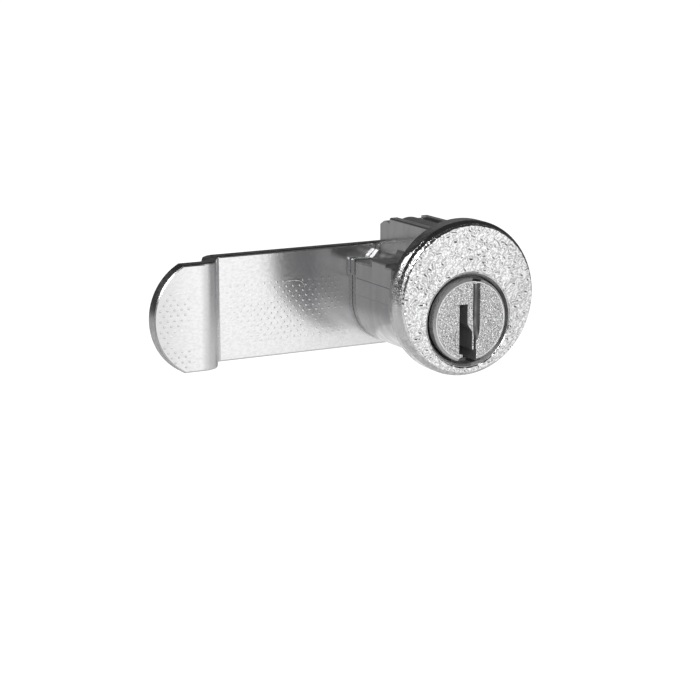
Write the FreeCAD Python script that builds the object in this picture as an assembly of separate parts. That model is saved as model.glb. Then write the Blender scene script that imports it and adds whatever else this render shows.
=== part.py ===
import FreeCAD, Part
import math
import os

# Mailbox lock with an offset cam. Millimetres, +Z up, +Y into the door.
# The origin is on the plug's axis, in the plane of the flange's back face.

Vector = FreeCAD.Vector
AHEAD = Vector(0, 1, 0)
UP = Vector(0, 0, 1)

# Flange, the round head that stays outside the door
flange_radius = 11.85
flange_thickness = 3.45
flange_lift = 3.16
face_radius = 11.07
face_pad_height = 0.22
rim_depth = 1.15
rim_bulge = 0.24
flange_back_chamfer = 0.25

# Body behind the flange
body_length = 17.45
body_half_width = 7.8
body_bottom_radius = 7.3
body_top = 6.5
body_edge_radius = 0.3
clip_groove_width = 5.85
clip_groove_depth = 0.6
shoulder_length = 6.1
shoulder_top = 7.45
shoulder_step_length = 1.8
shoulder_step_drop = 0.45
rail_proud = 0.25
rail_bottom = 3.85
rail_rear_gap = 0.35

# Pin chamber block on top of the body
block_half_width = 3.5
block_top = 13.3
block_root_radius = 1.4
ridge_width = 1.33
ridge_rear_gap = 3.0
rear_step_drop = 0.9
rear_crown_drop = 0.55
rear_crown_length = 1.55
rear_corner_drop = 0.8
rear_corner_radius = 1.2
channel_depth = 1.3

# Plug and its bore
plug_radius = 6.35
running_clearance = 0.05
end_play = 0.05
plug_proud = 0.7
plug_face_bevel = 0.35
nose_radius = 6.35
shoulder_ring_radius = 6.75
shoulder_ring_thickness = 0.65
counterbore_depth = 2.3
counterbore_bevel_radius = 7.15
counterbore_bevel_depth = 0.45

# Keyway, seen from the front
keyway_left = -1.95
keyway_top = 2.57
keyway_step_x = -0.53
keyway_step_top = -0.55
keyway_right = 0.32
keyway_step_bottom = -1.65
keyway_foot_right = 1.06
keyway_foot_top = -4.45
keyway_lip_x = -1.3
keyway_lip_top = -4.9
keyway_lip_bottom = -5.45
keyway_lip_slope = 0.15
keyway_rear_wall = 3.0
face_groove_x = 1.03
face_groove_width = 1.25
face_groove_depth = 0.4
face_groove_top = 5.6
face_groove_runout_z = 0.0
face_groove_cutter_radius = 12.0
face_slit_left = 0.6
face_slit_right = 1.0
face_slit_depth = 0.35

# Pins and springs
pin_count = 5
pin_pitch = 2.75
first_pin_y = 1.6
pin_radius = 1.1
pin_clearance = 0.05
pin_end_chamfer = 0.25
pin_shear_gap = 0.02
driver_length = 2.6
key_pin_lengths = [4.6, 5.4, 4.9, 5.8, 5.1]
key_pin_tip = 0.6
key_pin_tip_radius = 0.35
chamber_floor = -0.75
spring_radius = 1.0
spring_wall = 0.3

# Chamber cover, the strip pressed into the channel over the springs
cover_edge_height = 0.55
cover_crown_height = 1.25
cover_pocket_depth = 0.3
cover_pocket_clearance = 0.05

# Rear plate, which stops the plug's turn
rear_plate_thickness = 1.1
rear_plate_ear_half_width = 8.15
rear_plate_ear_bottom = 4.1
rear_plate_top = 6.7
rear_plate_finger_half_width = 3.75
rear_plate_finger_top = 8.8
rear_plate_flare = 1.1
rear_plate_edge_radius = 0.25
rear_plate_ear_radius = 0.12
turn_angle = 90.0
stop_rest_angle = 180.0
stop_half_angle = 15.0
stop_gap_angle = 0.5
stop_lug_radius = 6.1
stop_window_clearance = 0.15
stop_lug_setback = 0.1

# Rivets through the rear plate's ears
rivet_x = 6.5
rivet_z = 5.3
rivet_radius = 0.6
rivet_fit = 0.03
rivet_depth = 3.0
rivet_head_radius = 1.05
rivet_head_depth = 0.5

# Plug's tail behind the rear plate
tail_radius = 4.6
tail_length = 1.25
cam_seat_radius = 3.6
cam_seat_flat = 2.7
cam_seat_short = 0.2
screw_hole_radius = 1.75
screw_hole_rear_wall = 1.2

# Cam, a flat bar with a forward jog and a rounded tip
cam_thickness = 2.3
cam_half_width = 8.2
cam_rise = 0.6
cam_reach = 43.5
cam_offset = 4.7
cam_jog_x = 32.95
cam_jog_angle = 64.0
cam_bend_radius = 0.6
cam_tip_radius = 9.3
cam_hole_clearance = 0.05

# Toothed lock washer and cam screw
washer_radius = 5.4
washer_hole_radius = 2.15
washer_thickness = 0.7
washer_teeth = 12
washer_notch_depth = 0.9
washer_notch_width = 1.1
screw_radius = 1.7
screw_length = 5.8
screw_head_radius = 3.6
screw_head_height = 2.2
screw_head_edge = 0.9
recess_width = 0.9
recess_length = 4.2
recess_depth = 1.3

# Places that follow from the sizes above
face_y = -flange_thickness
plug_face_y = face_y - plug_proud
counterbore_floor_y = face_y + counterbore_depth
bore_radius = plug_radius + running_clearance
body_rear_y = body_length
plug_rear_y = body_rear_y - end_play
channel_floor = block_top - channel_depth
channel_half_width = block_half_width - ridge_width
cover_front_y = -cover_pocket_depth
cover_crown_z = channel_floor + cover_crown_height
ridge_rear_y = body_length - ridge_rear_gap
shoulder_rear_y = clip_groove_width + shoulder_length
neck_half_width = body_half_width - clip_groove_depth
rail_half_width = body_half_width + rail_proud
chamber_radius = pin_radius + pin_clearance
plate_rear_y = body_rear_y + rear_plate_thickness
cam_front_y = plug_rear_y + tail_length
cam_rear_y = cam_front_y + cam_thickness
keyway_rear_y = plug_rear_y - keyway_rear_wall
shear_top = bore_radius + pin_shear_gap
key_pin_top = math.sqrt(plug_radius ** 2 - pin_radius ** 2)
driver_top = shear_top + driver_length
stop_window_radius = stop_lug_radius + stop_window_clearance
washer_rear_y = cam_rear_y + washer_thickness
far = 2.0 * flange_radius
pin_places = [first_pin_y + index * pin_pitch for index in range(pin_count)]


def box(x_low, x_high, y_low, y_high, z_low, z_high):
    """A block between two corners."""
    return Part.makeBox(x_high - x_low, y_high - y_low, z_high - z_low, Vector(x_low, y_low, z_low))


def round_bar(radius, y_low, y_high, x=0.0, z=0.0):
    """A round bar along the plug's axis."""
    return Part.makeCylinder(radius, y_high - y_low, Vector(x, y_low, z), AHEAD)


def upright(radius, z_low, z_high, y):
    """A round bar that stands upright in a pin chamber."""
    return Part.makeCylinder(radius, z_high - z_low, Vector(0, y, z_low), UP)


def turned_pin(profile, y):
    """A pin turned about an upright axis, from (radius, z) points."""
    points = [Vector(radius, y, z) for radius, z in profile]
    face = Part.Face(Part.makePolygon(points + points[:1]))
    return face.revolve(Vector(0, y, 0), UP, 360)


def rounded_wire(corners, place):
    """A closed outline. Each corner is (a, b, radius), and place puts a and b in space."""
    starts = []
    middles = []
    ends = []
    count = len(corners)
    for index, (a, b, radius) in enumerate(corners):
        before = corners[index - 1]
        after = corners[(index + 1) % count]
        to_before = Vector(before[0] - a, before[1] - b, 0).normalize()
        to_after = Vector(after[0] - a, after[1] - b, 0).normalize()
        half = to_before.getAngle(to_after) / 2
        corner = Vector(a, b, 0)
        inward = (to_before + to_after).normalize()
        setback = radius / math.tan(half)
        starts.append(corner + to_before * setback)
        ends.append(corner + to_after * setback)
        middles.append(corner + inward * (radius / math.sin(half) - radius))
    edges = []
    for index, corner in enumerate(corners):
        start = place(starts[index])
        end = place(ends[index])
        if corner[2] > 0:
            edges.append(Part.Arc(start, place(middles[index]), end).toShape())
        following = place(starts[(index + 1) % count])
        if end.distanceToPoint(following) > Part.Precision.confusion():
            edges.append(Part.makeLine(end, following))
    return Part.Wire(edges)


def front_prism(corners, y_low, y_high):
    """A prism along Y whose outline is seen from the front."""
    wire = rounded_wire(corners, lambda point: Vector(point.x, y_low, point.y))
    return Part.Face(wire).extrude(AHEAD * (y_high - y_low))


def mirrored(corners):
    """The corners of the left half, from the bottom up, and of its mirror image."""
    right = [(-x, z, radius) for x, z, radius in reversed(corners)]
    return corners + right


def turned(profile):
    """A solid turned about the plug's axis, from (radius, y) points."""
    points = [Vector(radius, y, 0) for radius, y in profile]
    face = Part.Face(Part.makePolygon(points + points[:1]))
    return face.revolve(Vector(0, 0, 0), AHEAD, 360)


def sector(radius, low_angle, high_angle, y_low, y_high):
    """A pie slice about the plug's axis. Angles are seen from the front, from +X up to +Z."""
    middle_angle = (low_angle + high_angle) / 2
    rim = [
        Vector(radius * math.cos(math.radians(angle)), y_low, radius * math.sin(math.radians(angle)))
        for angle in (low_angle, middle_angle, high_angle)
    ]
    centre = Vector(0, y_low, 0)
    edges = [
        Part.makeLine(centre, rim[0]),
        Part.Arc(*rim).toShape(),
        Part.makeLine(rim[2], centre),
    ]
    return Part.Face(Part.Wire(edges)).extrude(AHEAD * (y_high - y_low))


def double_d(radius, flat, y_low, y_high):
    """A round bar with a flat above and a flat below."""
    return round_bar(radius, y_low, y_high).common(box(-far, far, y_low, y_high, -flat, flat))


def body_section(half_width, top, y_low, y_high):
    """One length of the body: round below, flat sides, and the chamber block on top."""
    left = [
        (-half_width, -body_bottom_radius, body_bottom_radius),
        (-half_width, top, body_edge_radius),
        (-block_half_width, top, block_root_radius),
        (-block_half_width, block_top, body_edge_radius),
    ]
    return front_prism(mirrored(left), y_low, y_high)


def flange():
    """The round head: a raised pad for the textured face, and a polished, rounded rim about it."""
    pad_edge = Vector(face_radius, face_y, flange_lift)
    rim_front = Vector(face_radius, face_y + face_pad_height, flange_lift)
    rim_back = Vector(flange_radius, face_y + rim_depth, flange_lift)
    chord = rim_back - rim_front
    outward = Vector(chord.y, -chord.x, 0).normalize()
    rim_middle = (rim_front + rim_back) / 2 + outward * rim_bulge
    side_end = Vector(flange_radius, -flange_back_chamfer, flange_lift)
    back_edge = Vector(flange_radius - flange_back_chamfer, 0, flange_lift)
    back_centre = Vector(0, 0, flange_lift)
    front_centre = Vector(0, face_y, flange_lift)
    edges = [
        Part.makeLine(front_centre, pad_edge),
        Part.makeLine(pad_edge, rim_front),
        Part.Arc(rim_front, rim_middle, rim_back).toShape(),
        Part.makeLine(rim_back, side_end),
        Part.makeLine(side_end, back_edge),
        Part.makeLine(back_edge, back_centre),
        Part.makeLine(back_centre, front_centre),
    ]
    return Part.Face(Part.Wire(edges)).revolve(back_centre, AHEAD, 360)


def block_rear_cut():
    """What is taken off the chamber block's top behind the ridges: a step, a crown and a corner."""
    crown_z = block_top - rear_crown_drop
    corner_z = crown_z - rear_corner_drop
    crown_y = ridge_rear_y + rear_crown_length
    corners = [
        (ridge_rear_y, far, 0),
        (ridge_rear_y, block_top - rear_step_drop, 0),
        (crown_y, crown_z, rear_corner_radius),
        (body_rear_y, corner_z, 0),
        (far, corner_z, 0),
        (far, far, 0),
    ]
    wire = rounded_wire(corners, lambda point: Vector(-far, point.x, point.y))
    return Part.Face(wire).extrude(Vector(2 * far, 0, 0))


def side_rail(side, top, y_low, y_high):
    """One length of the rail along the upper part of one side."""
    return front_prism(
        [
            (side * block_half_width, rail_bottom, 0),
            (side * rail_half_width, rail_bottom, 0),
            (side * rail_half_width, top, body_edge_radius),
            (side * block_half_width, top, 0),
        ],
        y_low,
        y_high,
    )


def face_groove():
    """Round-bottomed groove milled down the plug's face, with the run-out that the cutter leaves."""
    half_width = face_groove_width / 2
    edge_radius = (half_width ** 2 + face_groove_depth ** 2) / (2 * face_groove_depth)
    floor_y = plug_face_y + face_groove_depth
    start = Vector(face_groove_x, floor_y - edge_radius, face_groove_runout_z)
    groove = Part.makeCylinder(edge_radius, face_groove_top - face_groove_runout_z, start, UP)
    cutter_centre = Vector(face_groove_x, floor_y - face_groove_cutter_radius, face_groove_runout_z)
    ring_radius = face_groove_cutter_radius - edge_radius
    cutter = Part.makeTorus(ring_radius, edge_radius, cutter_centre, Vector(1, 0, 0))
    runout = cutter.common(box(-far, far, plug_face_y - edge_radius, face_y, -far, face_groove_runout_z))
    return groove.fuse(runout)


def make_housing():
    """Die-cast shell: flange, body, rails, chamber block, bore and pin chambers."""
    shell = flange().fuse(body_section(body_half_width, body_top, -flange_back_chamfer, body_rear_y))
    low_shoulder_top = shoulder_top - shoulder_step_drop
    step_y = clip_groove_width + shoulder_step_length
    shell = shell.fuse(body_section(body_half_width, low_shoulder_top, clip_groove_width, step_y))
    shell = shell.fuse(body_section(body_half_width, shoulder_top, step_y, shoulder_rear_y))
    rail_lengths = [
        (low_shoulder_top, clip_groove_width, step_y),
        (shoulder_top, step_y, shoulder_rear_y),
        (body_top, shoulder_rear_y, body_rear_y - rail_rear_gap),
    ]
    for side in (-1, 1):
        for rail_length in rail_lengths:
            shell = shell.fuse(side_rail(side, *rail_length))
        groove_low, groove_high = sorted((side * neck_half_width, side * far))
        shell = shell.cut(box(groove_low, groove_high, 0, clip_groove_width, -far, block_top))
        rivet_hole = rivet_radius + rivet_fit
        rivet_start = body_rear_y - rivet_depth - rivet_fit
        shell = shell.cut(round_bar(rivet_hole, rivet_start, body_rear_y, side * rivet_x, rivet_z))
    shell = shell.cut(block_rear_cut())
    shell = shell.cut(
        box(-channel_half_width, channel_half_width, 0, ridge_rear_y, channel_floor, block_top)
    )
    pocket_top = cover_crown_z + cover_pocket_clearance
    shell = shell.cut(
        box(-channel_half_width, channel_half_width, cover_front_y, 0, channel_floor, pocket_top)
    )
    counterbore_radius = shoulder_ring_radius + running_clearance
    bore = turned(
        [
            (0, face_y),
            (counterbore_bevel_radius, face_y),
            (counterbore_radius, face_y + counterbore_bevel_depth),
            (counterbore_radius, counterbore_floor_y),
            (bore_radius, counterbore_floor_y),
            (bore_radius, body_rear_y),
            (0, body_rear_y),
        ]
    )
    shell = shell.cut(bore)
    for y in pin_places:
        shell = shell.cut(upright(chamber_radius, 0, channel_floor, y))
    return shell.removeSplitter()


def keyway(y_low, y_high):
    """The broached keyway, open along the plug's underside."""
    corners = [
        (keyway_left, keyway_top, 0),
        (keyway_step_x, keyway_top, 0),
        (keyway_step_x, keyway_step_top, 0),
        (keyway_right, keyway_step_bottom, 0),
        (keyway_right, keyway_foot_top, 0),
        (keyway_foot_right, keyway_foot_top, 0),
        (keyway_foot_right, -shoulder_ring_radius, 0),
        (keyway_left, -shoulder_ring_radius, 0),
        (keyway_left, keyway_lip_bottom - keyway_lip_slope, 0),
        (keyway_lip_x, keyway_lip_bottom, 0),
        (keyway_lip_x, keyway_lip_top - keyway_lip_slope, 0),
        (keyway_left, keyway_lip_top, 0),
    ]
    return front_prism(corners, y_low, y_high)


def make_plug():
    """Turning plug: nose, shoulder ring, barrel, stop lug, tail and cam seat in one piece."""
    ring_rear_y = counterbore_floor_y - end_play
    ring_front_y = ring_rear_y - shoulder_ring_thickness
    plug = turned(
        [
            (0, plug_face_y),
            (nose_radius - plug_face_bevel, plug_face_y),
            (nose_radius, plug_face_y + plug_face_bevel),
            (nose_radius, ring_front_y),
            (shoulder_ring_radius, ring_front_y),
            (shoulder_ring_radius, ring_rear_y),
            (plug_radius, ring_rear_y),
            (plug_radius, plug_rear_y),
            (tail_radius, plug_rear_y),
            (tail_radius, cam_front_y),
            (0, cam_front_y),
        ]
    )
    lug_rear_y = plate_rear_y - stop_lug_setback
    lug_low = stop_rest_angle - stop_half_angle
    lug_high = stop_rest_angle + stop_half_angle
    lug = sector(stop_lug_radius, lug_low, lug_high, plug_rear_y, lug_rear_y)
    plug = plug.fuse(lug)
    plug = plug.fuse(double_d(cam_seat_radius, cam_seat_flat, cam_front_y, cam_rear_y - cam_seat_short))
    plug = plug.cut(keyway(plug_face_y, keyway_rear_y))
    plug = plug.cut(face_groove())
    slit_floor_y = plug_face_y + face_slit_depth
    plug = plug.cut(
        box(face_slit_left, face_slit_right, plug_face_y, slit_floor_y, keyway_foot_top, face_groove_runout_z)
    )
    for y in pin_places:
        plug = plug.cut(upright(chamber_radius, chamber_floor, shear_top, y))
    screw_hole_y = keyway_rear_y + screw_hole_rear_wall
    plug = plug.cut(round_bar(screw_hole_radius, screw_hole_y, cam_rear_y))
    return plug.removeSplitter()


def make_chamber_cover():
    """Arched strip that closes the pin chambers. Its front end sits in a pocket in the flange's back."""
    edge_z = channel_floor + cover_edge_height
    left = Vector(-channel_half_width, cover_front_y, channel_floor)
    left_edge = Vector(-channel_half_width, cover_front_y, edge_z)
    crown = Vector(0, cover_front_y, cover_crown_z)
    right_edge = Vector(channel_half_width, cover_front_y, edge_z)
    right = Vector(channel_half_width, cover_front_y, channel_floor)
    edges = [
        Part.makeLine(left, left_edge),
        Part.Arc(left_edge, crown, right_edge).toShape(),
        Part.makeLine(right_edge, right),
        Part.makeLine(right, left),
    ]
    return Part.Face(Part.Wire(edges)).extrude(AHEAD * (ridge_rear_y - cover_front_y))


def make_driver_pin(y):
    """Upper pin, flat on the shear line, with chamfered ends."""
    end_radius = pin_radius - pin_end_chamfer
    profile = [
        (0, shear_top),
        (end_radius, shear_top),
        (pin_radius, shear_top + pin_end_chamfer),
        (pin_radius, driver_top - pin_end_chamfer),
        (end_radius, driver_top),
        (0, driver_top),
    ]
    return turned_pin(profile, y)


def make_key_pin(y, length):
    """Lower pin, with the cone that rides in the key's cuts."""
    tip_z = key_pin_top - length
    profile = [
        (0, tip_z),
        (key_pin_tip_radius, tip_z),
        (pin_radius, tip_z + key_pin_tip),
        (pin_radius, key_pin_top - pin_end_chamfer),
        (pin_radius - pin_end_chamfer, key_pin_top),
        (0, key_pin_top),
    ]
    return turned_pin(profile, y)


def make_pin_spring(y):
    """Room taken by the wound spring between a driver pin and the chamber cover."""
    outside = upright(spring_radius, driver_top, channel_floor, y)
    return outside.cut(upright(spring_radius - spring_wall, driver_top, channel_floor, y))


def rivet(side, play, front_y):
    """A countersunk rivet, or with some play the hole for it, flush with the rear plate's back."""
    shank = round_bar(rivet_radius + play, front_y, plate_rear_y, side * rivet_x, rivet_z)
    head_start = Vector(side * rivet_x, plate_rear_y - rivet_head_depth, rivet_z)
    head = Part.makeCone(rivet_radius + play, rivet_head_radius + play, rivet_head_depth, head_start, AHEAD)
    return shank.fuse(head)


def make_rear_plate():
    """Stamped plate riveted on the body's rear, with the hole and window for the plug's tail."""
    left = [
        (-body_half_width, -body_bottom_radius, body_bottom_radius),
        (-body_half_width, rear_plate_ear_bottom, 0),
        (-rear_plate_ear_half_width, rear_plate_ear_bottom, rear_plate_ear_radius),
        (-rear_plate_ear_half_width, rear_plate_top, rear_plate_edge_radius),
        (-rear_plate_finger_half_width - rear_plate_flare, rear_plate_top, 0),
        (-rear_plate_finger_half_width, rear_plate_top + rear_plate_flare, 0),
        (-rear_plate_finger_half_width, rear_plate_finger_top, rear_plate_edge_radius),
    ]
    plate = front_prism(mirrored(left), body_rear_y, plate_rear_y)
    plate = plate.cut(round_bar(tail_radius + running_clearance, body_rear_y, plate_rear_y))
    window_low = stop_rest_angle - stop_half_angle - turn_angle - stop_gap_angle
    window_high = stop_rest_angle + stop_half_angle + stop_gap_angle
    plate = plate.cut(sector(stop_window_radius, window_low, window_high, body_rear_y, plate_rear_y))
    for side in (-1, 1):
        plate = plate.cut(rivet(side, rivet_fit, body_rear_y))
    return plate


def make_plate_rivets():
    """Two rivets that hold the rear plate on the body."""
    return Part.Compound([rivet(side, 0.0, body_rear_y - rivet_depth) for side in (-1, 1)])


def make_cam():
    """Sheet steel bar behind the rear plate, which keeps the plug in: hub end, forward jog, arched tip."""
    half_run = cam_offset / math.tan(math.radians(cam_jog_angle)) / 2
    half_jog_angle = math.radians(cam_jog_angle) / 2
    shift = cam_thickness / 2 * math.tan(half_jog_angle)
    outer_radius = cam_bend_radius + cam_thickness
    first_x = -cam_jog_x + half_run
    second_x = -cam_jog_x - half_run
    hub_x = cam_half_width
    tip_x = -cam_reach
    tip_front_y = cam_front_y - cam_offset
    tip_rear_y = cam_rear_y - cam_offset
    corners = [
        (hub_x, cam_front_y, 0),
        (first_x + shift, cam_front_y, cam_bend_radius),
        (second_x + shift, tip_front_y, outer_radius),
        (tip_x, tip_front_y, 0),
        (tip_x, tip_rear_y, 0),
        (second_x - shift, tip_rear_y, cam_bend_radius),
        (first_x - shift, cam_rear_y, outer_radius),
        (hub_x, cam_rear_y, 0),
    ]
    wire = rounded_wire(corners, lambda point: Vector(point.x, point.y, -cam_half_width))
    strip = Part.Face(wire).extrude(UP * (2 * cam_half_width))
    tip_centre = -cam_reach + cam_tip_radius
    corner_x = tip_centre - math.sqrt(cam_tip_radius ** 2 - cam_half_width ** 2)
    plan_y = tip_front_y
    top_left = Vector(corner_x, plan_y, cam_half_width)
    bottom_left = Vector(corner_x, plan_y, -cam_half_width)
    top_right = Vector(0, plan_y, cam_half_width)
    bottom_right = Vector(0, plan_y, -cam_half_width)
    edges = [
        Part.makeLine(bottom_right, bottom_left),
        Part.Arc(bottom_left, Vector(-cam_reach, plan_y, 0), top_left).toShape(),
        Part.makeLine(top_left, top_right),
        Part.Arc(top_right, Vector(cam_half_width, plan_y, 0), bottom_right).toShape(),
    ]
    plan = Part.Face(Part.Wire(edges)).extrude(AHEAD * (cam_rear_y - plan_y))
    bar = strip.common(plan)
    bar.translate(UP * cam_rise)
    hole_radius = cam_seat_radius + cam_hole_clearance
    hole_flat = cam_seat_flat + cam_hole_clearance
    return bar.cut(double_d(hole_radius, hole_flat, cam_front_y, cam_rear_y))


def make_lock_washer():
    """Washer with outside teeth, under the cam screw's head."""
    washer = round_bar(washer_radius, cam_rear_y, washer_rear_y)
    washer = washer.cut(round_bar(washer_hole_radius, cam_rear_y, washer_rear_y))
    half_notch = washer_notch_width / 2
    notch = box(washer_radius - washer_notch_depth, far, cam_rear_y, washer_rear_y, -half_notch, half_notch)
    for index in range(washer_teeth):
        turned_notch = notch.copy()
        turned_notch.rotate(Vector(0, 0, 0), AHEAD, 360.0 / washer_teeth * index)
        washer = washer.cut(turned_notch)
    return washer


def make_cam_screw():
    """Pan head screw with a cross recess, into the end of the plug's tail."""
    head_rear_y = washer_rear_y + screw_head_height
    screw = turned(
        [
            (0, washer_rear_y - screw_length),
            (screw_radius, washer_rear_y - screw_length),
            (screw_radius, washer_rear_y),
            (screw_head_radius, washer_rear_y),
            (screw_head_radius, head_rear_y - screw_head_edge),
            (screw_head_radius - screw_head_edge, head_rear_y),
            (0, head_rear_y),
        ]
    )
    half_width = recess_width / 2
    half_length = recess_length / 2
    floor_y = head_rear_y - recess_depth
    screw = screw.cut(box(-half_length, half_length, floor_y, head_rear_y, -half_width, half_width))
    return screw.cut(box(-half_width, half_width, floor_y, head_rear_y, -half_length, half_length))


def all_parts():
    """Every piece by name."""
    parts = {
        "housing": make_housing(),
        "chamber_cover": make_chamber_cover(),
        "rear_plate": make_rear_plate(),
        "plate_rivets": make_plate_rivets(),
        "plug": make_plug(),
        "cam": make_cam(),
        "lock_washer": make_lock_washer(),
        "cam_screw": make_cam_screw(),
    }
    for number, y in enumerate(pin_places, 1):
        parts[f"key_pin_{number}"] = make_key_pin(y, key_pin_lengths[number - 1])
        parts[f"driver_pin_{number}"] = make_driver_pin(y)
        parts[f"pin_spring_{number}"] = make_pin_spring(y)
    return parts


os.makedirs("parts", exist_ok=True)
for node, shape in all_parts().items():
    shape.exportStep(f"parts/{node}.step")
    print(node, len(shape.Solids), "solid", round(shape.Volume, 2), "mm3", "valid", shape.isValid())
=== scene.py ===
import math
import bpy
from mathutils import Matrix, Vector, noise


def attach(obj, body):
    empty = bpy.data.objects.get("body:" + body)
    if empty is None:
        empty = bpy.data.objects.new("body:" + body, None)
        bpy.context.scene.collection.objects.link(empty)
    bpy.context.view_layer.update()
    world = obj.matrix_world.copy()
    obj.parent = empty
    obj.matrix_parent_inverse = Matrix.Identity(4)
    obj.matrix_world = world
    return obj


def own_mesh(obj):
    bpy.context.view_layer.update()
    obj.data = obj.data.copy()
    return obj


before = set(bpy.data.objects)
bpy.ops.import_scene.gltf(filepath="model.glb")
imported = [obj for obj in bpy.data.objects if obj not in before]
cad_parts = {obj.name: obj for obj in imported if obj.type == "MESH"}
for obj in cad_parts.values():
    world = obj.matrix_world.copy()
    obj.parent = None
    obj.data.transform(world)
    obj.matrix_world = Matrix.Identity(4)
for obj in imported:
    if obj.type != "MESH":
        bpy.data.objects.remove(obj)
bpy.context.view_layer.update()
MM = 0.001

# Camera
# It stands in front of the lock, to the left and a little above, and looks at it through a long lens. Its
# place, direction and lens give the photograph's perspective.
camera_place = Vector((-149.67, -245.13, 58.64)) * MM
camera_direction = Vector((0.4612, 0.8602, -0.2176))
film_width = 36.0
lens_length = 99.38
nearest_seen = 0.01
farthest_seen = 50.0
camera = bpy.data.objects.new("camera", bpy.data.cameras.new("camera"))
camera.data.sensor_width = film_width
camera.data.lens = lens_length
camera.data.clip_start = nearest_seen
camera.data.clip_end = farthest_seen
camera.location = camera_place
camera.rotation_euler = camera_direction.to_track_quat("-Z", "Y").to_euler()
bpy.context.scene.collection.objects.link(camera)
bpy.context.scene.camera = camera
bpy.context.scene.view_settings.view_transform = "Standard"

# Floor
# A wide sheet of white paper, far enough below the lock that its shadow stays out of the picture. The metal
# mirrors it: bright in front on the right, greyer in front on the left, dark far out to the side and behind.
floor_height = -100 * MM
floor_reach = 20.0
paper_white = 0.8
shown_glow = 0.98

# What the metal sees of each part of the sheet, and where it begins and is full, in metres. East is to the
# lock's right, and north is behind it.
grey_front, bright_front = 0.33, 1.16
front_east = (-0.08, 0.12)
near_front = 0.3
near_north = (-0.42, -0.33)
near_east = (0.15, 0.21)
right_front = 0.8
right_slant = 0.8
right_fade = (-0.04, 0.26)
under_glow = 0.62
back_left_glow, back_glow = 0.6, 0.85
back_east = (-0.06, 0.03)
back_north = (0.05, 0.16)
back_corner_glow = 0.7
corner_east = (-0.18, -0.08)
corner_north = (-0.1, 0.1)
far_back_glow = 0.29
far_back_north = (0.26, 0.5)
jog_glow, side_glow = 0.7, 0.08
side_north = (0.0, 0.2)
side_east = (0.2, 0.36)
front_north = (-0.32, -0.1)


class Wiring:
    """Adds shader nodes to one tree, with short calls for the sums that a finish is made of."""

    def __init__(self, tree):
        self.tree = tree
        tree.nodes.clear()

    def add(self, kind, **settings):
        """A new node with its properties set."""
        node = self.tree.nodes.new(kind)
        for name, value in settings.items():
            setattr(node, name, value)
        return node

    def feed(self, socket, value):
        """Puts a number, a colour or another node's output into a socket."""
        if isinstance(value, bpy.types.NodeSocket):
            self.tree.links.new(value, socket)
        else:
            socket.default_value = value

    def sum(self, operation, *values):
        """The result of one step of arithmetic."""
        node = self.add("ShaderNodeMath", operation=operation)
        for index, value in enumerate(values):
            self.feed(node.inputs[index], value)
        return node.outputs[0]

    def both(self, first, second):
        """One where two masks are one."""
        return self.sum("MULTIPLY", first, second)

    def smooth(self, value, low, high, start=0.0, end=1.0):
        """A soft step from start to end while value goes from low to high."""
        node = self.add("ShaderNodeMapRange", interpolation_type="SMOOTHSTEP")
        for name, number in (("From Min", low), ("From Max", high), ("To Min", start), ("To Max", end)):
            node.inputs[name].default_value = number
        self.feed(node.inputs["Value"], value)
        return node.outputs["Result"]

    def blend(self, factor, first, second):
        """A number between first and second."""
        node = self.add("ShaderNodeMix", data_type="FLOAT")
        self.feed(node.inputs["Factor"], factor)
        self.feed(node.inputs["A"], first)
        self.feed(node.inputs["B"], second)
        return node.outputs["Result"]

    def split(self, vector):
        """The three parts of a vector."""
        node = self.add("ShaderNodeSeparateXYZ")
        self.feed(node.inputs[0], vector)
        return node.outputs

    def matt(self, light):
        """A matt white, grey or black surface."""
        node = self.add("ShaderNodeBsdfDiffuse")
        node.inputs["Color"].default_value = (light, light, light, 1)
        return node.outputs[0]

    def either(self, factor, first, second):
        """One surface where the factor is none, another where it is one."""
        node = self.add("ShaderNodeMixShader")
        self.feed(node.inputs["Fac"], factor)
        self.feed(node.inputs[1], first)
        self.feed(node.inputs[2], second)
        return node.outputs[0]


floor_mesh = bpy.data.meshes.new("floor")
floor_mesh.from_pydata(
    [(x * floor_reach, y * floor_reach, floor_height) for x, y in ((-1, -1), (1, -1), (1, 1), (-1, 1))],
    [],
    [(0, 1, 2, 3)],
)
floor = bpy.data.objects.new("floor", floor_mesh)
bpy.context.scene.collection.objects.link(floor)
paper = bpy.data.materials.new("white paper")
paper.use_nodes = True
wiring = Wiring(paper.node_tree)
rays = wiring.add("ShaderNodeLightPath")
seen = wiring.sum("MAXIMUM", rays.outputs["Is Camera Ray"], rays.outputs["Is Glossy Ray"])
seen = wiring.sum("MAXIMUM", seen, rays.outputs["Is Transmission Ray"])
east, north, _ = wiring.split(wiring.add("ShaderNodeNewGeometry").outputs["Position"])
front = wiring.smooth(east, *front_east, grey_front, bright_front)
near = wiring.both(wiring.smooth(north, *near_north), wiring.smooth(east, *near_east))
front = wiring.blend(near, front, near_front)
right = wiring.smooth(wiring.sum("MULTIPLY_ADD", north, right_slant, east), *right_fade)
front = wiring.blend(right, front, right_front)
behind = wiring.blend(wiring.smooth(east, *back_east), back_left_glow, back_glow)
back = wiring.blend(wiring.smooth(north, *back_north), under_glow, behind)
corner = wiring.both(wiring.smooth(east, *corner_east, 1.0, 0.0), wiring.smooth(north, *corner_north))
back = wiring.blend(corner, back, back_corner_glow)
back = wiring.blend(wiring.smooth(north, *far_back_north), back, far_back_glow)
aside = wiring.blend(wiring.smooth(north, *side_north), jog_glow, side_glow)
back = wiring.blend(wiring.smooth(east, *side_east), back, aside)
mirrored_glow = wiring.blend(wiring.smooth(north, *front_north, 1.0, 0.0), back, front)
glow = wiring.add("ShaderNodeEmission")
wiring.feed(glow.inputs["Strength"], wiring.blend(rays.outputs["Is Camera Ray"], mirrored_glow, shown_glow))
unlit = wiring.matt(0)
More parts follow.
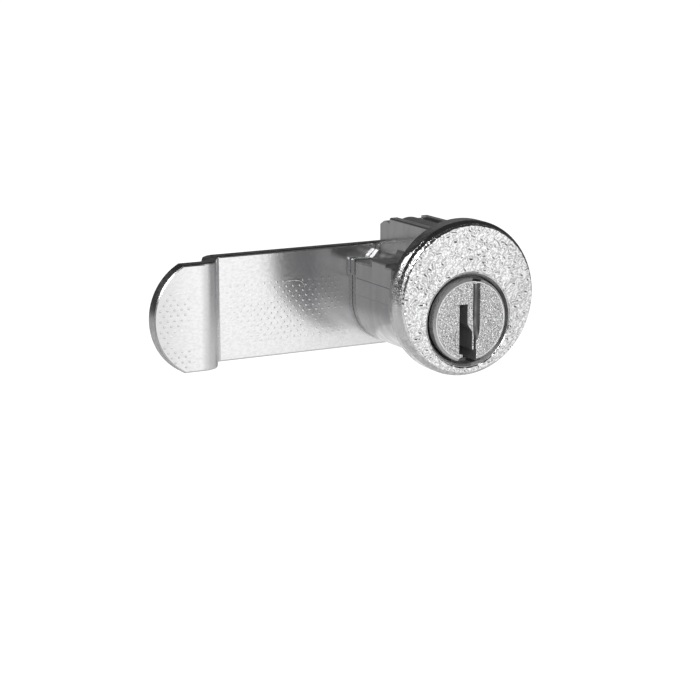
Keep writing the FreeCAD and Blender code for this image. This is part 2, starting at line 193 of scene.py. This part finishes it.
lit = wiring.either(rays.outputs["Is Glossy Ray"], wiring.matt(paper_white), unlit)
glowing = wiring.either(seen, unlit, glow.outputs[0])
lit_and_glowing = wiring.add("ShaderNodeAddShader")
wiring.feed(lit_and_glowing.inputs[0], lit)
wiring.feed(lit_and_glowing.inputs[1], glowing)
output = wiring.add("ShaderNodeOutputMaterial")
wiring.feed(output.inputs["Surface"], lit_and_glowing.outputs[0])
floor_mesh.materials.append(paper)

# Room
# White paper closes the horizon for the camera. The metal mirrors a dark room instead, with a white card low
# in front of the lock and a grey wall behind it.
room_low, room_high = 0.096, 0.032
room_top = 0.5
wall_glow = 0.136
wall_axis = Vector((0.46, 0.86, 0.2)).normalized()
wall_inner = math.radians(12)
wall_outer = math.radians(40)
card_glow = 1.0
card_axis = Vector((0.32, -0.95, 0.0)).normalized()
card_inner = math.radians(20)
card_outer = math.radians(44)
card_top = 0.6
world = bpy.data.worlds.new("studio")
world.use_nodes = True
bpy.context.scene.world = world
wiring = Wiring(world.node_tree)
rays = wiring.add("ShaderNodeLightPath")
toward = wiring.add("ShaderNodeTexCoord").outputs["Generated"]
_, _, rise = wiring.split(toward)


def lobe(axis, inner, outer):
    """One for directions within the inner angle of an axis, none beyond the outer angle."""
    nearness = wiring.add("ShaderNodeVectorMath", operation="DOT_PRODUCT")
    wiring.feed(nearness.inputs[0], toward)
    nearness.inputs[1].default_value = axis
    return wiring.smooth(nearness.outputs["Value"], math.cos(outer), math.cos(inner))


card = wiring.both(lobe(card_axis, card_inner, card_outer), wiring.smooth(rise, 0.0, card_top, 1.0, 0.0))
tone = wiring.smooth(rise, 0.0, room_top, room_low, room_high)
tone = wiring.blend(lobe(wall_axis, wall_inner, wall_outer), tone, wall_glow)
tone = wiring.blend(card, tone, card_glow)
backdrop = wiring.add("ShaderNodeBackground")
backdrop.inputs["Color"].default_value = (1, 1, 1, 1)
wiring.feed(backdrop.inputs["Strength"], wiring.blend(rays.outputs["Is Camera Ray"], tone, 1.0))
output = wiring.add("ShaderNodeOutputWorld")
wiring.feed(output.inputs["Surface"], backdrop.outputs[0])

# Lamps
# Two upright strip lamps on the left, one in front of the lock and one behind it, both aimed at it. They draw
# the white lines along the rim and pick out the grain of the cast face.
lamp_distance = 1.0
strip_height = 0.5
strip_radiance = 7.0
for name, direction, strip_width in (
    ("front strip", (-0.27, -0.88, 0.38), 0.16),
    ("back strip", (-0.64, 0.5, 0.66), 0.2),
):
    strip = bpy.data.lights.new(name, "AREA")
    strip.shape = "RECTANGLE"
    strip.size = strip_width
    strip.size_y = strip_height
    strip.energy = strip_radiance * math.pi * strip_width * strip_height
    lamp = bpy.data.objects.new(name, strip)
    lamp.location = Vector(direction).normalized() * lamp_distance
    lamp.rotation_euler = (-lamp.location).to_track_quat("-Z", "Y").to_euler()
    bpy.context.scene.collection.objects.link(lamp)

# Housing
# Zinc die casting, nickel plated. The body keeps its satin skin and the die's two faint lines, the rim is
# polished over casting pits with a band of painted light on its lower left, and the flange's back is dull.
# The inside corners, the recess and its edge are painted dark as shade; the edge is lighter at top and bottom.

# A zone is two limits in mm between which it fades, or its low limit, its high limit and how soft its ends are.
body_side = (7.6, 7.7)
upper_line = (3.64, 3.86, 0.04)
upper_line_tone = 0.35
lower_line = (1.02, 1.14, 0.06)
lower_line_tone = 0.6
flange_lift = 3.16
plane_slack = 0.01
rim_radius = 10.9
rim_left = (-10, -7.5)
rim_front = (-1.2, -1.05)
pitted_heights = (3.2, 9.5, 0.9)
worn_pits = 0.42
light_band_heights = (-1.6, 3.0, 0.7)
light_band_metal = 0.4
light_band_haze = 0.28
crown_depths = (-3.5, -1.1)
crown_height = 5.0
corner_heights = (6.2, 9)
corner_front = 0.05
recess_radius = 7.2
recess_edge_radius = 6.7
recess_front = -3.44
lighter_heights = (3.5, 5.5)
lighter_tone = 0.7


class Metal(Wiring):
    """A metal skin: fine grain, clouded polish and a slight change of tone. Sizes are in mm."""

    def __init__(self, name, tones, polish, grain, clouds=1.2, streaks=(1, 1, 1), metallic=1.0):
        """Tones and polish (as roughness) go from clear to clouded, and grain is a size and a depth."""
        self.material = bpy.data.materials.new(name)
        self.material.use_nodes = True
        super().__init__(self.material.node_tree)
        self.place = self.add("ShaderNodeTexCoord").outputs["Object"]
        stretched = self.add("ShaderNodeVectorMath", operation="MULTIPLY")
        self.feed(stretched.inputs[0], self.place)
        stretched.inputs[1].default_value = streaks
        cloud = self.add("ShaderNodeTexNoise")
        self.feed(cloud.inputs["Vector"], stretched.outputs[0])
        cloud.inputs["Scale"].default_value = 1 / (clouds * MM)
        cloud.inputs["Detail"].default_value = 4.0
        clear, clouded = 0.34, 0.68
        self.cloud = self.smooth(cloud.outputs["Fac"], clear, clouded)
        grain_size, grain_depth = grain
        grain_noise = self.add("ShaderNodeTexNoise")
        self.feed(grain_noise.inputs["Vector"], self.place)
        grain_noise.inputs["Scale"].default_value = 1 / (grain_size * MM)
        grain_noise.inputs["Detail"].default_value = 3.0
        self.grain = grain_noise.outputs["Fac"]
        self.bump = self.add("ShaderNodeBump")
        self.bump.inputs["Distance"].default_value = grain_depth * MM
        self.relief(self.grain)
        shade = self.add("ShaderNodeMix", data_type="RGBA")
        self.feed(shade.inputs["Factor"], self.cloud)
        self.feed(shade.inputs["A"], (*tones[0], 1))
        self.feed(shade.inputs["B"], (*tones[1], 1))
        self.tone = shade.outputs["Result"]
        self.shader = self.add("ShaderNodeBsdfPrincipled")
        self.give("Metallic", metallic)
        self.give("Base Color", self.tone)
        self.polish = self.smooth(self.cloud, 0, 1, *polish)
        self.give("Roughness", self.polish)
        self.give("Normal", self.bump.outputs["Normal"])
        output = self.add("ShaderNodeOutputMaterial")
        self.feed(output.inputs["Surface"], self.shader.outputs["BSDF"])

    def give(self, socket, value):
        """Puts a value on one of the metal's own sockets."""
        self.feed(self.shader.inputs[socket], value)

    def relief(self, height):
        """Raises the skin by a height, in shares of the grain's depth."""
        self.feed(self.bump.inputs["Height"], height)

    def tint(self, where, tone):
        """Gives the metal another grey where the mask is one."""
        over = self.add("ShaderNodeMix", data_type="RGBA")
        self.feed(over.inputs["Factor"], where)
        self.feed(over.inputs["A"], self.tone)
        self.feed(over.inputs["B"], (tone, tone, tone, 1))
        self.tone = over.outputs["Result"]
        self.give("Base Color", self.tone)

    def past(self, value, low, high, start=0.0, end=1.0):
        """A soft step between two limits, usually to one past the second."""
        return self.smooth(value, low * MM, high * MM, start, end)

    def short_of(self, value, low, high):
        """One before the first limit, none past the second."""
        return self.past(value, low, high, 1.0, 0.0)

    def within(self, value, low, high, soft):
        """One between two limits, with soft ends."""
        return self.both(
            self.past(value, low - soft, low + soft),
            self.short_of(value, high - soft, high + soft),
        )


def finish(node, metal, belongs=None):
    """Lays a skin on a whole piece, or only on the faces whose middle, in mm, and normal pass a test."""
    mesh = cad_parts[node].data
    if belongs is None:
        mesh.materials.clear()
    mesh.materials.append(metal.material)
    for face in mesh.polygons:
        if belongs is None or belongs(face.center / MM, face.normal):
            face.material_index = len(mesh.materials) - 1


def break_edges(node, width=0.08):
    """Rounds a piece's sharp edges a little, as plating and tumbling leave them."""
    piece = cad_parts[node]
    weld = piece.modifiers.new("joined faces", "WELD")
    weld.merge_threshold = 0.002 * MM
    flat = piece.modifiers.new("flat faces", "DECIMATE")
    flat.decimate_type = "DISSOLVE"
    flat.angle_limit = math.radians(0.5)
    flat.delimit = {"MATERIAL"}
    bevel = piece.modifiers.new("broken edges", "BEVEL")
    bevel.width = width * MM
    bevel.segments = 2
    bevel.limit_method = "ANGLE"
    bevel.angle_limit = math.radians(32)
    normals = piece.modifiers.new("even shading", "WEIGHTED_NORMAL")
    normals.keep_sharp = True


def grey(light, dark):
    """Two tones of the same neutral metal."""
    return (light, light, light * 1.01), (dark, dark, dark * 1.01)


def from_plug_axis(point):
    """Distance from the plug's axis."""
    return math.hypot(point.x, point.z)


def from_flange_axis(point):
    """Distance from the flange's axis, which lies above the plug's."""
    return math.hypot(point.x, point.z - flange_lift)


casting = Metal(
    "satin plated casting", grey(0.8, 0.68), polish=(0.16, 0.24), grain=(0.3, 0.004), clouds=1.6,
    streaks=(1, 1, 0.2),
)
side, _, height = casting.split(casting.place)
on_side = casting.past(casting.sum("ABSOLUTE", side), *body_side)
casting.tint(casting.both(on_side, casting.within(height, *upper_line)), upper_line_tone)
casting.tint(casting.both(on_side, casting.within(height, *lower_line)), lower_line_tone)
finish("housing", casting)

rim_skin = Metal("polished rim", grey(0.8, 0.6), polish=(0.1, 0.17), grain=(0.28, 0.11), clouds=0.6)
side, depth, height = rim_skin.split(rim_skin.place)
left = rim_skin.short_of(side, *rim_left)
left_front = rim_skin.both(left, rim_skin.short_of(depth, *rim_front))
pitted = rim_skin.both(left_front, rim_skin.within(height, *pitted_heights))
painted_light_band = rim_skin.both(left_front, rim_skin.within(height, *light_band_heights))
crown = rim_skin.both(rim_skin.past(depth, *crown_depths, 0.0, crown_height), left)
pits = rim_skin.sum("MULTIPLY", rim_skin.grain, rim_skin.blend(pitted, worn_pits, 1.0))
rim_skin.relief(rim_skin.sum("ADD", pits, crown))
# Painted light: the rim's lower left is tinted white and made less metallic and hazier, so it shows a light
# band.
rim_skin.tint(painted_light_band, 1.0)
rim_skin.give("Metallic", rim_skin.blend(painted_light_band, 1.0, light_band_metal))
rim_skin.give("Roughness", rim_skin.blend(painted_light_band, rim_skin.polish, light_band_haze))
finish(
    "housing",
    rim_skin,
    lambda middle, normal: from_flange_axis(middle) > rim_radius and middle.y < -plane_slack,
)
finish(
    "housing",
    Metal("matt flange back", grey(0.6, 0.54), polish=(0.45, 0.55), grain=(0.3, 0.004), metallic=0.7),
    lambda middle, normal: normal.y > 0.9 and abs(middle.y) < plane_slack,
)
# Painted shade: the inside corners above the ledge get a dark grey.
finish(
    "housing",
    Metal("inside corners painted dark", grey(0.3, 0.22), polish=(0.4, 0.5), grain=(0.3, 0.006), metallic=0.35),
    lambda middle, normal: corner_heights[0] < middle.z < corner_heights[1]
    and middle.y > corner_front and normal.z > 0.1,
)
# Painted shade: the recess around the plug gets a dark grey.
finish(
    "housing",
    Metal("recess painted dark", grey(0.4, 0.28), polish=(0.35, 0.5), grain=(0.25, 0.01), metallic=0.25),
    lambda middle, normal: from_plug_axis(middle) < recess_radius and middle.y > recess_front,
)
# Painted shade: the recess edge gets a dark grey like the recess, and is lighter towards its top and bottom.
recess_edge = Metal("recess edge", grey(0.3, 0.22), polish=(0.25, 0.35), grain=(0.25, 0.01), metallic=0.5)
_, _, height = recess_edge.split(recess_edge.place)
recess_edge.tint(recess_edge.past(recess_edge.sum("ABSOLUTE", height), *lighter_heights), lighter_tone)
finish(
    "housing",
    recess_edge,
    lambda middle, normal: recess_edge_radius < from_plug_axis(middle) < recess_radius
    and middle.y > recess_front and normal.y < -0.3,
)
break_edges("housing", width=0.05)

# Cast face
# The flange's face between the recess and its edge keeps the coarse leather grain of the die: flat islands
# with short furrows between them, inside a smooth lip. It is plated bright, and a little duller on the right.
face_plane = -3.45
face_inner = 7.17
face_outer = 11.29
face_lip = 0.24
edge_lip = 0.14
edge_drop = 0.32
edge_waver = 0.07
edge_waves = 26
face_proud = 0.012
furrow_depth = 0.025
furrow_spacing = 0.5
furrow_width = 0.4
furrow_break = 0.8
furrow_break_fade = (-0.3, 0.1)
furrow_break_slice = 9.0
swell_depth = 0.116
swell_size = 0.47
swell_slice = 20.0
spokes = 900
rings = 84
duller_side = (5, 9)
duller_share = 0.35
duller_tone = 0.62


def fade(value, low, high):
    """A soft step from 0 to 1."""
    share = min(max((value - low) / (high - low), 0.0), 1.0)
    return share * share * (3 - 2 * share)


def grain_height(x, z):
    """How far the face's skin stands in front of its deepest furrows."""
    line = noise.noise(Vector((x, z, 0.0)) / furrow_spacing)
    breaks = fade(noise.noise(Vector((x, z, furrow_break_slice)) / furrow_break), *furrow_break_fade)
    furrow = math.exp(-(line / furrow_width) ** 2) * breaks
    swell = noise.noise(Vector((x, z, swell_slice)) / swell_size)
    return furrow_depth * (1 - furrow) + swell_depth * (1 + swell)


face_points = []
for step in range(spokes):
    angle = 2 * math.pi * step / spokes
    reach = flange_lift * math.sin(angle) + math.sqrt(
        face_outer ** 2 - (flange_lift * math.cos(angle)) ** 2
    )
    reach += edge_waver * noise.noise(Vector((math.cos(angle), math.sin(angle), 0.0)) * edge_waves)
    for ring in range(rings + 1):
        radius = face_inner + (reach - face_inner) * ring / rings
        x = radius * math.cos(angle)
        z = radius * math.sin(angle)
        lip = fade(radius, face_inner, face_inner + face_lip)
        edge = fade(reach - radius, 0.0, edge_lip)
        proud = grain_height(x, z) * lip * edge + face_proud * (-1 if ring == 0 else 1)
        proud -= edge_drop * (1 - edge)
        face_points.append(Vector((x, face_plane - proud, z)) * MM)
face_mesh = bpy.data.meshes.new("cast face")
face_mesh.from_pydata(
    face_points,
    [],
    [
        (
            step * (rings + 1) + ring,
            step * (rings + 1) + ring + 1,
            (step + 1) % spokes * (rings + 1) + ring + 1,
            (step + 1) % spokes * (rings + 1) + ring,
        )
        for step in range(spokes)
        for ring in range(rings)
    ],
)
face_mesh.shade_smooth()
face = bpy.data.objects.new("cast_face", face_mesh)
bpy.context.scene.collection.objects.link(face)
leather_grain = Metal("leather grain", grey(1.0, 0.8), polish=(0.17, 0.25), grain=(0.16, 0.01), clouds=0.3)
side, _, _ = leather_grain.split(leather_grain.place)
leather_grain.tint(leather_grain.past(side, *duller_side, 0.0, duller_share), duller_tone)
face_mesh.materials.append(leather_grain.material)
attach(face, "lock_body")

# Plug
# Its face is plated over a fine grain inside a turned, polished ring. The groove was milled before plating and
# is painted dark as shade, the keyway broached after, and the part that stands in the recess is painted dark as
# shade, lighter at its top. A band of its side in front of that and its chamfer are painted bright as
# highlights.
# Keys left a round scuff.
ring_inner = 5.8
ring_outer = 6.0
ring_soft = 0.03
ring_crest = 0.12
crest_inset = 0.08
ring_tone = 0.86
ring_polish = 0.1
scuff_centre = (0.4, -2.6)
scuff_radius = 3.05
scuff_width = 0.06
scuff_soft = 0.05
scuff_side = (-2.1, -1.95)
scuff_reach = 1.3
scuff_fade = 0.2
scuff_depth = -0.5
scuff_tone = 0.3
sunk_depths = (-2.75, -2.55)
nose_shade_tone = 0.07
lit_heights = (3.8, 5.4)
lit_tone = 0.35
highlight_radii = (6.25, 6.32)
highlight_tone = 0.95
painted_zone_metal = 0.3
nose_radius = 5.9
nose_back = -3.8
groove_front, groove_floor = -4.14, -3.72
groove_left, groove_right = 0.35, 1.7
keyway_left, keyway_right = -2.0, 1.1
keyway_radius = 6.3
plug_skin = Metal("plated plug", grey(1.0, 0.52), polish=(0.15, 0.22), grain=(0.36, 0.3), clouds=0.24)


def distance(skin, x, z):
    """Distance from a line along the plug's axis, through a point in mm."""
    to_side, _, up = skin.split(skin.place)
    to_side = skin.sum("SUBTRACT", to_side, x * MM)
    up = skin.sum("SUBTRACT", up, z * MM)
    squares = skin.sum("ADD", skin.sum("MULTIPLY", to_side, to_side), skin.sum("MULTIPLY", up, up))
    return skin.sum("SQRT", squares)


from_axis = distance(plug_skin, 0.0, 0.0)
side, depth, height = plug_skin.split(plug_skin.place)
turned_ring = plug_skin.within(from_axis, ring_inner, ring_outer, ring_soft)
crest = plug_skin.within(from_axis, ring_inner + crest_inset, ring_outer - crest_inset, crest_inset)
scuff = plug_skin.within(
    distance(plug_skin, *scuff_centre), scuff_radius, scuff_radius + scuff_width, scuff_soft,
)
scuff = plug_skin.both(scuff, plug_skin.short_of(side, *scuff_side))
scuff = plug_skin.both(scuff, plug_skin.within(
    height, scuff_centre[1] - scuff_reach, scuff_centre[1] + scuff_reach, scuff_fade,
))
relief = plug_skin.blend(turned_ring, plug_skin.grain, plug_skin.sum("MULTIPLY_ADD", crest, ring_crest, 0.5))
plug_skin.relief(plug_skin.sum("MULTIPLY_ADD", scuff, scuff_depth, relief))
plug_skin.give("Roughness", plug_skin.blend(turned_ring, plug_skin.polish, ring_polish))
plug_skin.tint(turned_ring, ring_tone)
plug_skin.tint(scuff, scuff_tone)
# Painted shade: the part of the plug that stands in the recess is tinted near black, and lighter at its top as
# painted light.
sunk = plug_skin.past(depth, *sunk_depths)
plug_skin.tint(sunk, nose_shade_tone)
plug_skin.tint(plug_skin.both(sunk, plug_skin.past(height, *lit_heights)), lit_tone)
# Painted highlight: a thin band of the plug's side in front of the recess is tinted near white and made less
# metallic.
highlight_side = plug_skin.past(from_axis, *highlight_radii)
highlight_side = plug_skin.both(highlight_side, plug_skin.smooth(sunk, 0.0, 1.0, 1.0, 0.0))
plug_skin.tint(highlight_side, highlight_tone)
painted_zones = plug_skin.sum("MAXIMUM", sunk, highlight_side)
plug_skin.give("Metallic", plug_skin.smooth(painted_zones, 0.0, 1.0, 1.0, painted_zone_metal))
finish("plug", plug_skin)
# Painted highlight: the plug's front chamfer is a near-white, less metallic grey.
finish(
    "plug",
    Metal("turned edge with painted highlight", grey(0.95, 0.8), polish=(0.2, 0.3), grain=(0.3, 0.03), metallic=0.3),
    lambda middle, normal: from_plug_axis(middle) > nose_radius and middle.y < nose_back
    and -0.95 < normal.y < -0.3,
)
# Painted shade: the milled groove gets a dark grey.
finish(
    "plug",
    Metal("groove painted dark", grey(0.22, 0.16), polish=(0.3, 0.42), grain=(0.25, 0.006)),
    lambda middle, normal: groove_front < middle.y < groove_floor and groove_left < middle.x < groove_right,
)
finish(
    "plug",
    Metal("broached keyway", grey(0.42, 0.34), polish=(0.45, 0.6), grain=(0.25, 0.006), metallic=0.2),
    lambda middle, normal: middle.y > groove_front and keyway_left < middle.x < keyway_right
    and abs(normal.y) < 0.2 and from_plug_axis(middle) < keyway_radius,
)
break_edges("plug", width=0.05)

# Chamber cover
# An arched strip of pressed steel, dull plated. It is sprung into the channel between the two ridges of the
# pin chamber block, and keeps the pin springs in.
finish("chamber_cover", Metal("dull plated strip", grey(0.56, 0.5), polish=(0.3, 0.42), grain=(0.2, 0.004)))
break_edges("chamber_cover")

# Rear plate
# Stamped steel, dull plated, with its edges rolled a little where the die pulled the metal down. It lies on
# the body's rear, and its window stops the plug's turn.
finish("rear_plate", Metal("stamped plate", grey(0.64, 0.56), polish=(0.24, 0.36), grain=(0.25, 0.003)))
break_edges("rear_plate", width=0.04)

# Plate rivets
# Two steel rivets that hold the rear plate on the body. They are pressed flush into its countersinks, which
# leaves them a little brighter than the plate.
finish("plate_rivets", Metal("pressed rivet", grey(0.66, 0.58), polish=(0.2, 0.32), grain=(0.25, 0.006)))
break_edges("plate_rivets")

# Cam
# Thick sheet steel, blanked, bent to its jog, bright plated and tumbled, so that its mirror is hazy and
# mottled and its edges are rolled over. The plating is dull on the jog, and the sheared upper edge is dark.
tip_side = (-44, -36)
tip_shade_tone = 0.68
jog_side = (-35.6, -32.6, 0.5)
jog_haze = 0.36
tip_start = -36
edge_shade_heights = (0.6, 2.6)
edge_shade_tone = 0.25
lit_edge_metal = 0.3
upper_edge_height = 8
cam_skin = Metal(
    "bright plated sheet", grey(0.83, 0.79), polish=(0.16, 0.21), grain=(0.16, 0.0035), clouds=0.36,
    streaks=(0.6, 1, 1),
)
side, _, _ = cam_skin.split(cam_skin.place)
# Painted shade: the tip is tinted darker towards its left end.
cam_skin.tint(cam_skin.short_of(side, *tip_side), tip_shade_tone)
on_jog = cam_skin.within(side, *jog_side)
cam_skin.give("Roughness", cam_skin.blend(on_jog, cam_skin.polish, jog_haze))
finish("cam", cam_skin)
# Painted light and shade: the tip's left edge is a near-white, less metallic grey below and a dark grey, fully
# metallic above.
rounded_edge = Metal("rounded edge", grey(0.88, 0.76), polish=(0.3, 0.4), grain=(0.25, 0.01))
_, _, height = rounded_edge.split(rounded_edge.place)
edge_shade_above = rounded_edge.past(height, *edge_shade_heights)
rounded_edge.tint(edge_shade_above, edge_shade_tone)
rounded_edge.give("Metallic", rounded_edge.smooth(edge_shade_above, 0.0, 1.0, lit_edge_metal, 1.0))
finish(
    "cam",
    rounded_edge,
    lambda middle, normal: middle.x < tip_start
    and abs(normal.y) < 0.3 and normal.x < -0.3 and normal.z < 0.75,
)
finish(
    "cam",
    Metal("sheared edge", grey(0.2, 0.12), polish=(0.25, 0.4), grain=(0.25, 0.01)),
    lambda middle, normal: middle.z > upper_edge_height and normal.z > 0.7,
)
break_edges("cam", width=0.28)

# Cam dots
# The sheet was rolled with shallow round dots in staggered rows. Plating and wear left them clear in some
# places and gone in others. A burr stands along one old scratch.
dot_radius = 0.2
bar_dot_height = 0.018
tip_dot_height = 0.034
dot_root = 0.002
dot_pitch = 1.13
row_pitch = 0.8
dot_sides = 12
dot_rings = 3
wear_size = 5.0
wear_slice = 4.0
wear_fade = (-0.6, 0.0)
faintest_dot = 0.1
bar_front = 18.65
tip_front = 13.95
bar_zone = (-29.5, -8.6, -4.8, 5.0)
tip_zone = (-43.0, -37.0, -6.6, 5.6)
tip_round = (-34.2, 8.6)
scratch = (
    (-19.9, 3.6), (-19.3, 4.0), (-18.4, 4.08), (-17.6, 4.08), (-16.8, 3.8), (-16.35, 3.3), (-16.2, 2.7),
)
scratch_width = 0.11
burr_height = 0.06
dot_points = []
dot_faces = []


def dome(x, y, z, rise):
    """A shallow round bump on the cam's front, its foot sunk a little into the sheet."""
    first = len(dot_points)
    dot_points.append(Vector((x, y - rise, z)) * MM)
    for ring in range(1, dot_rings + 1):
        share = ring / dot_rings
        reach = dot_radius * share
        level = rise * math.cos(math.pi / 2 * share) - (dot_root if ring == dot_rings else 0.0)
        for step in range(dot_sides):
            angle = 2 * math.pi * step / dot_sides
            spot = (x + reach * math.cos(angle), y - level, z + reach * math.sin(angle))
            dot_points.append(Vector(spot) * MM)
    for step in range(dot_sides):
        following = (step + 1) % dot_sides
        dot_faces.append((first, first + 1 + step, first + 1 + following))
        for ring in range(dot_rings - 1):
            inner = first + 1 + ring * dot_sides
            outer = inner + dot_sides
            dot_faces.append((inner + step, outer + step, outer + following, inner + following))


for front, (left, right, low, high), rise in (
    (bar_front, bar_zone, bar_dot_height),
    (tip_front, tip_zone, tip_dot_height),
):
    for row in range(int((high - low) / row_pitch)):
        for place in range(int((right - left) / dot_pitch)):
            x = left + (place + row % 2 / 2) * dot_pitch
            z = low + row * row_pitch
            left_of_tip = front == tip_front and math.hypot(x - tip_round[0], z) > tip_round[1]
            clear = fade(noise.noise(Vector((x, z, wear_slice)) / wear_size), *wear_fade)
            if clear > faintest_dot and not left_of_tip:
                dome(x, front, z, rise * clear)
first = len(dot_points)
for number, (x, z) in enumerate(scratch):
    before = scratch[max(number - 1, 0)]
    after = scratch[min(number + 1, len(scratch) - 1)]
    along = Vector((after[0] - before[0], after[1] - before[1])).normalized()
    swell = math.sin(math.pi * (number + 0.5) / len(scratch))
    for offset, rise in ((-1, -dot_root), (0, burr_height * swell), (1, -dot_root)):
        shift = offset * scratch_width * swell
        dot_points.append(Vector((x - along[1] * shift, bar_front - rise, z + along[0] * shift)) * MM)
for number in range(len(scratch) - 1):
    for lane in range(2):
        corner = first + number * 3 + lane
        dot_faces.append((corner, corner + 3, corner + 4, corner + 1))
dot_mesh = bpy.data.meshes.new("cam dots")
dot_mesh.from_pydata(dot_points, [], dot_faces)
dot_mesh.shade_smooth()
dots = bpy.data.objects.new("cam_dots", dot_mesh)
bpy.context.scene.collection.objects.link(dots)
rubbed_dots = Metal("rubbed dots", grey(0.86, 0.81), polish=(0.12, 0.16), grain=(0.3, 0.002))
dot_mesh.materials.append(rubbed_dots.material)
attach(dots, "plug_and_cam")

# Lock washer
# Stamped spring steel with teeth all round its outside. It lies between the cam and the screw's head, and its
# teeth keep the screw from working loose.
finish("lock_washer", Metal("toothed washer", grey(0.6, 0.52), polish=(0.22, 0.34), grain=(0.2, 0.003)))
break_edges("lock_washer", width=0.05)

# Cam screw
# Zinc-plated steel, its head and cross recess formed cold. It goes through washer and cam into the plug's
# tail, and clamps the cam on its seat.
finish("cam_screw", Metal("zinc-plated screw", grey(0.68, 0.6), polish=(0.2, 0.32), grain=(0.25, 0.003)))
break_edges("cam_screw", width=0.12)

# Pins and springs
# Five key pins and five driver pins turned from brass rod, and five springs of drawn steel wire, hidden in
# the chambers under the cover. Each spring gets a mesh of its own.
pin_edge = 0.04
wire_edge = 0.02
brass_tones = (0.8, 0.6, 0.28), (0.72, 0.52, 0.24)
brass = Metal("turned brass", brass_tones, polish=(0.2, 0.35), grain=(0.2, 0.003))
wire = Metal("spring wire", grey(0.6, 0.52), polish=(0.25, 0.4), grain=(0.2, 0.003))
for number in range(1, 6):
    finish(f"key_pin_{number}", brass)
    break_edges(f"key_pin_{number}", width=pin_edge)
    finish(f"driver_pin_{number}", brass)
    break_edges(f"driver_pin_{number}", width=pin_edge)
    finish(f"pin_spring_{number}", wire)
    break_edges(f"pin_spring_{number}", width=wire_edge)
    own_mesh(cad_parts[f"pin_spring_{number}"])
